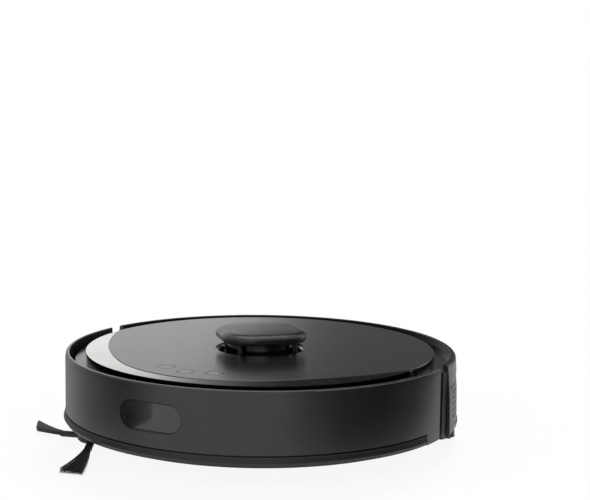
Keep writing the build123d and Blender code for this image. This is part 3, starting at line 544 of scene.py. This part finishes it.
capFinish = mouldedPlastic("capBlack", capLook)
steelFinish = drawnSteel("drawnSteel", steelLook)
finishNodes = (
    (bumperBlack("bumperBlack", bumperLook), "bumper_shell"),
    (shellBlack("shellBlack", shellLook), "upper_shell"),
    (capFinish, "turret_cap"),
    (mouldedPlastic("glossBlack", glossLook), "lidar_rotor"),
    (mouldedPlastic("satinBlack", satinLook), "exhaust_grille", "bin_lid", "bin_latch", "brush_guard"),
    (
        mouldedPlastic("baseBlack", baseLook), "base_pan", "battery_cover", "lidar_base", "brush_motor",
        "side_brush_motor", "brush_core", "mop_plate", "wheel_arm_left", "wheel_arm_right",
    ),
    (
        mouldedPlastic("hubGrey", hubLook), "lidar_pulley", "fan_housing", "fan_impeller", "caster_fork",
        "wheel_hub_left", "wheel_hub_right",
    ),
    (mouldedPlastic("binSmoke", binLook), "dust_bin"),
    (discPearl("discPearl", discLook), "top_disc", "power_button", "home_button", "spot_button"),
    (silverLacquer("silverLacquer", silverLook), "crescent_trim"),
    (silverLacquer("ringSmoke", ringLook), "turret_ring"),
    (smokedWindow("smokedWindow", windowLook), "front_window", "lidar_lens", "cliff_sensors"),
    (softRubber("softRubber", rubberLook), "bumper_strip", "lidar_belt", "caster_wheel", "side_brush_hub"),
    (softRubber("treadRubber", treadLook), "tyre_left", "tyre_right"),
    (softRubber("finRubber", finLook), "brush_fins"),
    (
        steelFinish, "lidar_motor", "fan_motor", "bumper_springs", "cap_springs", "suspension_pins",
        "caster_axle", "side_brush_screw",
    ),
    (drawnSteel("nickelPlate", nickelLook), "charge_contacts"),
    (cellWrap("cellWrap", wrapLook), "battery"),
    (circuitBoard("circuitBoard", boardLook), "main_board"),
    (filterPaper("filterPaper", filterLook), "hepa_filter"),
)
for finish, *nodes in finishNodes:
    for holder in (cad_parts[node] for node in nodes):
        if not holder.material_slots:
            holder.data.materials.append(finish)
        for slot in holder.material_slots:
            slot.material = finish
print("finishes on", sum(len(row) - 1 for row in finishNodes), "nodes")

# side brush bristles
bristleSet = {
    "columns": 34, "rows": 8, "steps": 9, "root": 0.0337, "trimDeep": 0.002, "rootWidth": 0.0046,
    "spread": 0.014, "fan": 1.3, "rootHeight": 0.007, "rootDepth": 0.0028, "flare": 0.001, "fall": 0.0039,
    "thickness": 0.00017, "sides": 4, "ragged": 0.0016, "sway": 0.0009,
    "chances": (("ragged", 0.0, 1.0, 7), ("sway", -0.5, 0.5, 23)),  # name, least, most, seed
    "arms": (  # degrees, how far the tips trail and how late they bend, reach, slant of the trim
        (-60.0, 0.006, 2.0, 0.089, 0.005),
        (60.0, 0.010, 2.0, 0.089, 0.005),
        (180.0, 0.020, 1.15, 0.078, -0.014),
    ),
}


def bristlePiece(s):
    keys = ("columns", "rows", "steps", "root", "rootWidth", "spread", "fall", "thickness", "ragged")
    tree = Shaper("bristleTree", {key: s[key] for key in keys})
    size = tree.size
    counts = {"Vertices X": size("columns"), "Vertices Y": size("rows")}
    roots = tree.node("GeometryNodeMeshGrid", inputs={"Size X": 1.0, "Size Y": 1.0, **counts})
    u, v = tree.spot()[:2]
    roots = tree.moved(roots, tree.vector(0.0, u, v))
    number = {"data_type": "FLOAT"}
    for key, least, most, seed in s["chances"]:
        chance = tree.node("FunctionNodeRandomValue", number, {2: least, 3: most, "Seed": seed}, out=1)
        kept = {"Geometry": roots, "Name": key, "Value": chance}
        roots = tree.node("GeometryNodeStoreNamedAttribute", {**number, "domain": "POINT"}, kept)
    ends = {"Start": (0.0, 0.0, 0.0), "End": (1.0, 0.0, 0.0)}
    line = tree.node("GeometryNodeCurvePrimitiveLine", inputs=ends)
    line = tree.node("GeometryNodeResampleCurve", inputs={"Curve": line, "Count": size("steps")})
    strands = tree.node("GeometryNodeInstanceOnPoints", inputs={"Points": roots, "Instance": line})
    strands = tree.node("GeometryNodeRealizeInstances", inputs={0: strands})
    t, u, v = tree.spot()
    ragged, sway = (
        tree.node("GeometryNodeInputNamedAttribute", number, {"Name": key}) for key in ("ragged", "sway")
    )
    cut = s["trimDeep"] * tree.maths("ABSOLUTE", v) + size("ragged") * ragged
    across = u * (size("rootWidth") + size("spread") * t ** s["fan"]) + sway * t * s["sway"]
    z = s["rootHeight"] + v * (s["rootDepth"] + s["flare"] * t) - size("fall") * t
    section = {"Resolution": s["sides"], "Radius": size("thickness")}
    ring = tree.node("GeometryNodeCurvePrimitiveCircle", inputs=section)
    centre = (*middleOf(*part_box("side_brush_screw")), 0.0)
    tufts = []
    for turn, trail, bend, reach, slant in s["arms"]:
        x = size("root") + (reach + slant * u - cut - size("root")) * t
        bent = tree.moved(strands, tree.vector(x, across - trail * t ** bend, z))
        swept = {"Curve": bent, "Profile Curve": ring, "Fill Caps": True}
        fibres = tree.node("GeometryNodeCurveToMesh", inputs=swept)
        spun = {"Geometry": fibres, "Translation": centre, "Rotation": (0.0, 0.0, math.radians(turn))}
        tufts.append(tree.node("GeometryNodeTransform", inputs=spun))
    whole = tree.node("GeometryNodeJoinGeometry", inputs={0: tufts})
    piece = tree.run("side_bristles", whole, bristleFibre("bristleFibre", bristleLook))
    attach(piece, "side_brush")
    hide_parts("bristle_tuft_1", "bristle_tuft_2", "bristle_tuft_3")
    return piece


bristles = bristlePiece(bristleSet)
print("bristles:", len(bristles.data.polygons), "faces")

# base screws
screwSet = {
    "sides": 32, "headRadius": 0.0031, "crown": 0.0024, "headDepth": 0.0009, "domeDepth": 0.0005,
    "slotLength": 0.0034, "slotWidth": 0.00075, "slotDepth": 0.0007,
}
screwApart = 0.012  # corners nearer than this belong to one screw


def screwSpots():  # the middles of the six heads, from their own solids
    found = []
    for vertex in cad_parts["base_screws"].data.vertices:
        spot = vertex.co.xy
        group = next((g for g in found if (g[0] - spot).length < screwApart), None)
        if group:
            group.append(spot)
        else:
            found.append([spot])
    spans = [([p.x for p in g], [p.y for p in g]) for g in found]
    return [((min(xs) + max(xs)) / 2, (min(ys) + max(ys)) / 2) for xs, ys in spans]


def screwPiece(s):
    tree = Shaper("screwTree", s)
    size = tree.size
    rim = {"Vertices": size("sides"), "Radius": size("headRadius"), "Depth": size("headDepth")}
    rim = tree.node("GeometryNodeMeshCylinder", inputs=rim)
    up = tree.vector(0.0, 0.0, size("domeDepth") + size("headDepth") * 0.5)
    rim = tree.node("GeometryNodeTransform", inputs={"Geometry": rim, "Translation": up})
    dome = {"Vertices": size("sides"), "Radius Top": size("headRadius"), "Radius Bottom": size("crown")}
    dome = tree.node("GeometryNodeMeshCone", inputs={**dome, "Depth": size("domeDepth")})
    head = tree.node("GeometryNodeMeshBoolean", {"operation": "UNION"}, {"Mesh 2": [rim, dome]})
    length, width, depth = size("slotLength"), size("slotWidth"), 2 * size("slotDepth")
    bars = [tree.vector(length, width, depth), tree.vector(width, length, depth)]
    bars = [tree.node("GeometryNodeMeshCube", inputs={"Size": bar}) for bar in bars]
    head = tree.node("GeometryNodeMeshBoolean", {"operation": "DIFFERENCE"}, {"Mesh 1": head, "Mesh 2": bars})
    heads = tree.node("GeometryNodeInstanceOnPoints", inputs={"Points": size("Geometry"), "Instance": head})
    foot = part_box("base_screws")[0].z
    piece = tree.run("base_screw_heads", heads, steelFinish, [(x, y, foot) for x, y in screwSpots()])
    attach(piece, "chassis")
    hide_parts("base_screws")
    return piece


screws = screwPiece(screwSet)
print("screws:", len(screws.data.polygons), "faces")

# printed marks on the keys
markSet = {"stroke": 0.00062, "lift": 0.00004, "sink": 0.00010, "unit": 0.001, "sharpest": 0.4}
markFinish = padPrint("padPrint", inkLook)


def ribbon(shape, path, s, low, high, closed):  # a flat stroke along a path, mitred at its corners
    count = len(path)
    left, right = [], []
    for i, p in enumerate(path):
        before = path[i - 1] if i or closed else None
        after = path[(i + 1) % count] if i < count - 1 or closed else None
        runs = [(b - a).normalized() for a, b in ((before, p), (p, after)) if a is not None and b is not None]
        normals = [Vector((-d.y, d.x)) for d in runs]
        mean = sum(normals, Vector((0.0, 0.0))).normalized()
        mean *= s["stroke"] / 2 / max(s["sharpest"], mean.dot(normals[0]))
        left.append(p + mean)
        right.append(p - mean)
    rings = [[shape.verts.new((q.x, q.y, h)) for q in side] for h in (low, high) for side in (left, right)]
    lowLeft, lowRight, highLeft, highRight = rings
    for i in range(count if closed else count - 1):
        j = (i + 1) % count
        for a, b in ((highLeft, highRight), (lowRight, lowLeft), (lowLeft, highLeft), (highRight, lowRight)):
            shape.faces.new((a[i], b[i], b[j], a[j]))
    if not closed:
        for i in (0, count - 1):
            shape.faces.new((lowLeft[i], lowRight[i], highRight[i], highLeft[i]))


def keyMark(node, body, strokes, s):
    low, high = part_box(node)
    centre = Vector(middleOf(low, high))
    shape = bmesh.new()
    for path, closed in strokes:
        path = [centre + Vector(p) * s["unit"] for p in path]
        ribbon(shape, path, s, high.z - s["sink"], high.z + s["lift"], closed)
    bmesh.ops.recalc_face_normals(shape, faces=shape.faces)
    piece = meshPiece(node.replace("button", "mark"), shape, markFinish)
    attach(piece, body)
    return piece


def arc(radius, start, end, steps):  # degrees from the far side, clockwise
    turns = [math.radians(start + (end - start) * i / steps) for i in range(steps + 1)]
    return [(radius * math.sin(a), radius * math.cos(a)) for a in turns]


homeStrokes = (
    ([(-2.6, 0.2), (0.0, 2.6), (2.6, 0.2)], False),
    ([(-1.9, 0.0), (-1.9, -2.1), (1.9, -2.1), (1.9, 0.0)], False),
)
powerStrokes = ((arc(2.5, 38.0, 322.0, 28), False), ([(0.0, 0.5), (0.0, 2.9)], False))
spotStrokes = ((arc(2.7, 0.0, 345.0, 30)[:-1], True), (arc(1.1, 0.0, 345.0, 18)[:-1], True))
marks = [
    keyMark("home_button", "home_key", homeStrokes, markSet),
    keyMark("power_button", "power_key", powerStrokes, markSet),
    keyMark("spot_button", "spot_key", spotStrokes, markSet),
]
print("marks:", sum(len(m.data.polygons) for m in marks), "faces")

# turret cap
capSet = {
    "half": 0.0375, "corner": 0.026, "thickness": 0.0076, "lip": 0.0019, "lipInset": 0.0061,
    "lipDraft": 0.0003, "lipRound": 0.0004, "footRound": 0.003, "edgeAcross": 0.0062, "edgeDown": 0.0042,
    "crown": 0.0006, "crownReach": 0.98, "steps": 10, "crownSteps": 8, "cornerSteps": 24,
    "pillarRing": 0.034, "pillarRadius": 0.0022, "pillarSides": 24, "sunk": 0.0006,
}


def quarterTurns(steps):
    return [math.radians(90.0 * i / steps) for i in range(steps + 1)]


def capRing(shape, s, inset, z):  # a rounded square standing on its corner
    ring = []
    middle = s["half"] - s["corner"]
    for corner in range(4):
        turn = math.radians(90.0 * corner)
        for a in quarterTurns(s["cornerSteps"]):
            spot = Vector((middle, middle)) + (s["corner"] - inset) * Vector((math.cos(a), math.sin(a)))
            spot.rotate(Matrix.Rotation(turn + math.radians(45.0), 2))
            ring.append(shape.verts.new((spot.x, spot.y, z)))
    return ring


def capProfile(s, foot, top):  # inset and height, from under the lip over the edge to the middle
    quarter = quarterTurns(s["steps"])
    under = foot - s["lip"]
    lip, soft, heel = s["lipInset"], s["lipRound"], s["footRound"]
    profile = [(lip + s["lipDraft"], foot), (lip, under + soft), (lip - soft, under)]
    profile += [(heel * (1 - math.sin(a)), under + heel * (1 - math.cos(a))) for a in quarter]
    edge = [(s["edgeAcross"] * (1 - math.cos(a)), s["edgeDown"] * (1 - math.sin(a))) for a in quarter]
    rest = s["crownReach"] * s["corner"] - s["edgeAcross"]
    edge += [(s["edgeAcross"] + rest * step / s["crownSteps"], 0.0) for step in range(1, s["crownSteps"] + 1)]
    return profile + [(inset, top - down - s["crown"] * (1 - inset / s["half"]) ** 2) for inset, down in edge]


def capPiece(s):
    low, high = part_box("turret_cap")
    foot = high.z - s["thickness"]
    shape = bmesh.new()
    rings = [capRing(shape, s, inset, z) for inset, z in capProfile(s, foot, high.z)]
    for lower, upper in zip(rings, rings[1:]):
        for i in range(len(lower)):
            j = (i + 1) % len(lower)
            shape.faces.new((lower[i], lower[j], upper[j], upper[i]))
    shape.faces.new(rings[-1])
    shape.faces.new(reversed(rings[0]))
    tall = foot + s["sunk"] - low.z
    for corner in range(4):
        a = math.radians(90.0 * corner)
        spot = Vector((s["pillarRing"] * math.sin(a), s["pillarRing"] * math.cos(a), low.z + tall / 2))
        bmesh.ops.create_cone(
            shape, cap_ends=True, segments=s["pillarSides"], radius1=s["pillarRadius"],
            radius2=s["pillarRadius"], depth=tall, matrix=Matrix.Translation(spot),
        )
    bmesh.ops.recalc_face_normals(shape, faces=shape.faces)
    piece = meshPiece("turret_cap_shell", shape, capFinish)
    roundShade(piece)
    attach(piece, "cap")
    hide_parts("turret_cap")
    return piece


turretCap = capPiece(capSet)
print("turret cap:", len(turretCap.data.polygons), "faces")

# mop pad
padSet = {
    "voxel": 0.0028, "inset": 0.0011, "pinned": 0.0007, "pressure": 4.0, "frames": 20, "cap": 0.0016,
    "quality": 6, "mass": 0.2, "tension": 12.0, "shear": 6.0, "bending": 0.4, "ribFade": 0.001,
    "ribPitch": 0.0064, "ribDepth": 0.00034, "ribLean": 1.3, "hemAt": 0.0085, "hemWidth": 0.0019,
    "hemDepth": 0.0008, "floorGap": 0.0001,
}


def padSwell(piece, s, top):  # air pressure fills the pad, its upper side held by the plate
    start = [v.co.copy() for v in piece.data.vertices]
    pins = piece.vertex_groups.new(name="pins")
    pins.add([i for i, p in enumerate(start) if p.z > top - s["pinned"]], 1.0, "REPLACE")
    swell = piece.modifiers.new("swell", "CLOTH")
    cloth = swell.settings
    cloth.quality = s["quality"]
    cloth.mass = s["mass"]
    cloth.tension_stiffness = cloth.compression_stiffness = s["tension"]
    cloth.shear_stiffness = s["shear"]
    cloth.bending_stiffness = s["bending"]
    cloth.use_pressure = True
    cloth.uniform_pressure_force = s["pressure"]
    cloth.effector_weights.gravity = 0.0
    cloth.vertex_group_mass = "pins"
    for step in range(1, s["frames"] + 1):
        scene.frame_set(step)
    graph = bpy.context.evaluated_depsgraph_get()
    swollen = bpy.data.meshes.new_from_object(piece.evaluated_get(graph))
    for vertex, first, last in zip(piece.data.vertices, start, swollen.vertices):
        move = last.co - first
        if move.length > s["cap"]:
            move *= s["cap"] / move.length
        vertex.co = first + move
    bpy.data.meshes.remove(swollen)
    piece.modifiers.clear()
    piece.vertex_groups.clear()
    scene.frame_set(1)


def padRelief(piece, s, low, high):  # diagonal ribs all over and a sewn line along the edge
    mesh = piece.data
    reach = max(math.hypot(v.co.x, v.co.y) for v in mesh.vertices)
    moves = []
    for vertex in mesh.vertices:
        p = vertex.co
        free = min(1.0, max(0.0, (high.z - s["pinned"] - p.z) / s["ribFade"]))
        rib = math.sin(2 * math.pi * (p.x + p.y + s["ribLean"] * p.z) / (s["ribPitch"] * math.sqrt(2)))
        edge = min(reach - math.hypot(p.x, p.y), p.y - low.y)
        seam = max(0.0, 1 - ((edge - s["hemAt"]) / s["hemWidth"]) ** 2)
        moves.append(vertex.normal * free * (s["ribDepth"] * rib * (1 - seam) - s["hemDepth"] * seam))
    for vertex, move in zip(mesh.vertices, moves):
        vertex.co += move
        vertex.co.z = max(vertex.co.z, s["floorGap"])


def padPiece(s):
    piece = meshPiece("mop_pad", nodeCopy("mop_cloth"), microfibre("microfibre", padLook))
    low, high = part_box("mop_cloth")
    remesh = piece.modifiers.new("voxels", "REMESH")
    remesh.mode = "VOXEL"
    remesh.voxel_size = s["voxel"]
    settled(piece)
    for vertex in piece.data.vertices:
        if vertex.co.z < high.z - s["pinned"]:
            vertex.co -= vertex.normal * s["inset"]
    padSwell(piece, s, high.z)
    smooth = piece.modifiers.new("smooth", "SUBSURF")
    smooth.levels = smooth.render_levels = 1
    settled(piece)
    padRelief(piece, s, low, high)
    roundShade(piece, 180.0)
    return piece


pad = padPiece(padSet)
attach(pad, "mop")
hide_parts("mop_cloth")
print("mop pad:", len(pad.data.polygons), "faces")

# smooth-shaded copies of the bumper and cap springs, fixed where they stand
springSet = {  # axis by number; held is 0 for the low end, 1 for the high end
    "bumper_springs": {"name": "bumper_spring_sleeves", "body": "bumper", "axis": 1, "held": 1},
    "cap_springs": {"name": "cap_spring_sleeves", "body": "cap", "axis": 2, "held": 0},
}
springAngle = 50.0


def springPiece(node, s):  # the held and far ends are measured along the axis, but the copy stays fixed in place
    piece = meshPiece(s["name"], nodeCopy(node), steelFinish)
    roundShade(piece, springAngle)
    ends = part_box(node)
    start, end = Vector(), Vector()
    start[s["axis"]] = ends[s["held"]][s["axis"]]
    end[s["axis"]] = ends[1 - s["held"]][s["axis"]]
    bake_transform(piece)
    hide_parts(node)
    return piece


springs = [springPiece(node, item) for node, item in springSet.items()]
print("springs:", sum(len(p.data.polygons) for p in springs), "faces")

# light, floor and camera
lightSet = {
    "ambient": 0.42, "key": 2.2, "keyFrom": (-0.25, 0.75, 0.8), "keyAngle": 24.0, "fill": 0.6,
    "fillFrom": (-0.3, -1.0, 0.8), "fillAngle": 60.0, "floor": 0.95, "glow": 0.91, "floorReach": 14.0,
    "floorSides": 96,
}
plainWhite = {"Color": (1.0, 1.0, 1.0, 1.0), "Strength": 1.0}


def surfaced(owner, end, shade):  # one shader in place of the owner's own nodes
    owner.use_nodes = True
    owner.node_tree.nodes.clear()
    graph = Graph(owner.node_tree)
    graph.join(shade(graph), owner.node_tree.nodes.new(end), "Surface")
    return owner


def seenDirect(graph):  # camera, mirror and clear rays see the plain white surroundings
    path = graph.node("ShaderNodeLightPath").socket.node
    keys = ("Is Camera Ray", "Is Glossy Ray", "Is Transmission Ray")
    camera, glossy, clear = (Tone(graph, path.outputs[key]) for key in keys)
    return graph.maths("MINIMUM", camera + glossy + clear, 1.0)


def studio(s):
    def shade(graph):
        white = graph.node("ShaderNodeBackground", inputs=plainWhite)
        soft = graph.node("ShaderNodeBackground", inputs={**plainWhite, "Strength": s["ambient"]})
        return graph.node("ShaderNodeMixShader", inputs={0: seenDirect(graph), 1: soft, 2: white})

    scene.world = surfaced(bpy.data.worlds.new("studio"), "ShaderNodeOutputWorld", shade)
    for name in ("key", "fill"):
        lamp = bpy.data.lights.new(name, "SUN")
        lamp.energy = s[name]
        lamp.angle = math.radians(s[name + "Angle"])
        holder = bpy.data.objects.new(name, lamp)
        holder.rotation_mode = "QUATERNION"
        holder.rotation_quaternion = Vector(s[name + "From"]).to_track_quat("Z", "Y")
        holder.visible_glossy = False
        scene.collection.objects.link(holder)


def floorPiece(s):
    def shade(graph):
        grey = (s["floor"], s["floor"], s["floor"], 1.0)
        matt = graph.node("ShaderNodeBsdfDiffuse", inputs={"Color": grey})
        glow = graph.node("ShaderNodeEmission", inputs=plainWhite)
        top = graph.node("ShaderNodeMixShader", inputs={0: seenDirect(graph) * s["glow"], 1: matt, 2: glow})
        below = graph.node("ShaderNodeNewGeometry", out="Backfacing")
        clear = graph.node("ShaderNodeBsdfTransparent")
        return graph.node("ShaderNodeMixShader", inputs={0: below, 1: top, 2: clear})

    material = surfaced(bpy.data.materials.new("paleFloor"), "ShaderNodeOutputMaterial", shade)
    shape = bmesh.new()
    bmesh.ops.create_circle(shape, cap_ends=True, segments=s["floorSides"], radius=s["floorReach"])
    bmesh.ops.recalc_face_normals(shape, faces=shape.faces)
    piece = meshPiece("floor", shape, material)


# upright cards stand from one point to another, between two heights
# foot and head give the scale at the two ends of each edge, tones are set along that scale
cardSet = {
    "back": {
        "from": (-1.051, 0.656), "to": (0.236, 1.419), "rise": (0.0, 0.5),
        "foot": (-0.481, 0.619), "head": (-0.249, 0.851),
        "tones": ((0.02, 1.0), (0.045, 0.8), (0.07, 0.55), (0.095, 0.3), (0.12, 0.2), (0.2, 0.15)),
    },
    "upper": {
        "from": (-1.051, 0.656), "to": (0.236, 1.419), "rise": (0.5, 1.4),
        "foot": (-0.249, 0.851), "head": (0.17, 1.27),
        "tones": ((0.0, 0.9), (0.028, 0.76), (0.09, 0.47), (0.174, 0.13), (0.25, 0.04), (0.35, 0.0)),
    },
    "left": {
        "from": (-0.197, -0.0385), "to": (-0.103, -0.329), "rise": (0.0, 0.12),
        "foot": (0.0, 1.0), "head": (0.0, 1.0),
        "tones": (
            (0.0, 0.45), (0.26, 0.75), (0.333, 0.62), (0.444, 0.48), (0.556, 0.34), (0.644, 0.16),
            (0.726, 0.06), (0.837, 0.18), (0.926, 0.4), (1.0, 0.55),
        ),
    },
    "right": {
        "from": (0.197, -0.215), "to": (0.296, 0.280), "rise": (0.0, 0.16),
        "foot": (0.0, 1.0), "head": (0.0, 1.0),
        "tones": (
            (0.0, 0.60), (0.11, 0.28), (0.19, 0.07), (0.32, 0.02), (0.43, 0.07), (0.60, 0.18), (1.0, 0.28),
        ),
    },
}
roofSet = {"span": 1.5, "height": 1.7, "at": (-0.1, -0.1), "strength": 2.6}


def reflectionCard(name, corners, scale, tones):  # seen by reflections alone, as a studio sets beside gloss
    def shade(graph):
        along = graph.node("ShaderNodeAttribute", {"attribute_name": "along"}, out="Fac")
        stops = [(at, (tone, tone, tone)) for at, tone in tones]
        ramp = graph.node("ShaderNodeValToRGB", {"stops": stops}, {0: along})
        return graph.node("ShaderNodeEmission", inputs={"Color": ramp, "Strength": 1.0})

    material = surfaced(bpy.data.materials.new(name), "ShaderNodeOutputMaterial", shade)
    shape = bmesh.new()
    shape.faces.new([shape.verts.new(c) for c in corners])
    piece = meshPiece(name, shape, material)
    measure = piece.data.attributes.new("along", "FLOAT", "POINT")
    for item, value in zip(measure.data, scale):
        item.value = value
    piece.visible_camera = False
    piece.visible_diffuse = False
    piece.visible_shadow = False
    piece.visible_transmission = False


def cards(upright, roof):
    for name, card in upright.items():
        (x0, y0), (x1, y1), (foot, head) = card["from"], card["to"], card["rise"]
        corners = [(x0, y0, foot), (x1, y1, foot), (x1, y1, head), (x0, y0, head)]
        reflectionCard(name + "_card", corners, (*card["foot"], *reversed(card["head"])), card["tones"])
    half, (x, y) = roof["span"] / 2, roof["at"]
    corners = [(x + half * a, y + half * b, roof["height"]) for a, b in ((-1, -1), (1, -1), (1, 1), (-1, 1))]
    even = ((0.0, roof["strength"]), (1.0, roof["strength"]))
    reflectionCard("roof_card", corners, (0.0, 1.0, 1.0, 0.0), even)


cameraSet = {
    "azimuth": 30.7, "elevation": 14.589, "roll": 0.441, "distance": 1.279, "focal": 1428.6,
    "aim": (261.385, 431.718), "frame": (590.0, 500.0), "sensor": 36.0, "near": 0.02, "far": 60.0,
}


def turned(first, second, angle):  # two axes turned in their own plane
    c, s = math.cos(angle), math.sin(angle)
    return first * c + second * s, second * c - first * s


def placeCamera(s):  # stands where the picture was taken, aimed so that the origin falls on its own pixel
    a, e, roll = (math.radians(s[key]) for key in ("azimuth", "elevation", "roll"))
    right = Vector((math.cos(a), math.sin(a), 0.0))
    back = Vector((math.sin(a) * math.cos(e), -math.cos(a) * math.cos(e), math.sin(e)))
    up = back.cross(right)
    across, down = (math.atan((at - size / 2) / s["focal"]) for at, size in zip(s["aim"], s["frame"]))
    right, ahead = turned(right, -back, across)
    ahead, up = turned(ahead, up, down)
    right, up = turned(right, up, roll)
    lens = bpy.data.cameras.new("camera")
    lens.sensor_width = s["sensor"]
    lens.lens = s["focal"] * s["sensor"] / s["frame"][0]
    lens.clip_start, lens.clip_end = s["near"], s["far"]
    holder = bpy.data.objects.new("camera", lens)
    turn = Matrix((right, up, -ahead)).transposed().to_4x4()
    holder.matrix_world = Matrix.Translation(back * s["distance"]) @ turn
    scene.collection.objects.link(holder)
    scene.camera = holder


studio(lightSet)
floorPiece(lightSet)
cards(cardSet, roofSet)
placeCamera(cameraSet)
print("light, floor and camera set")
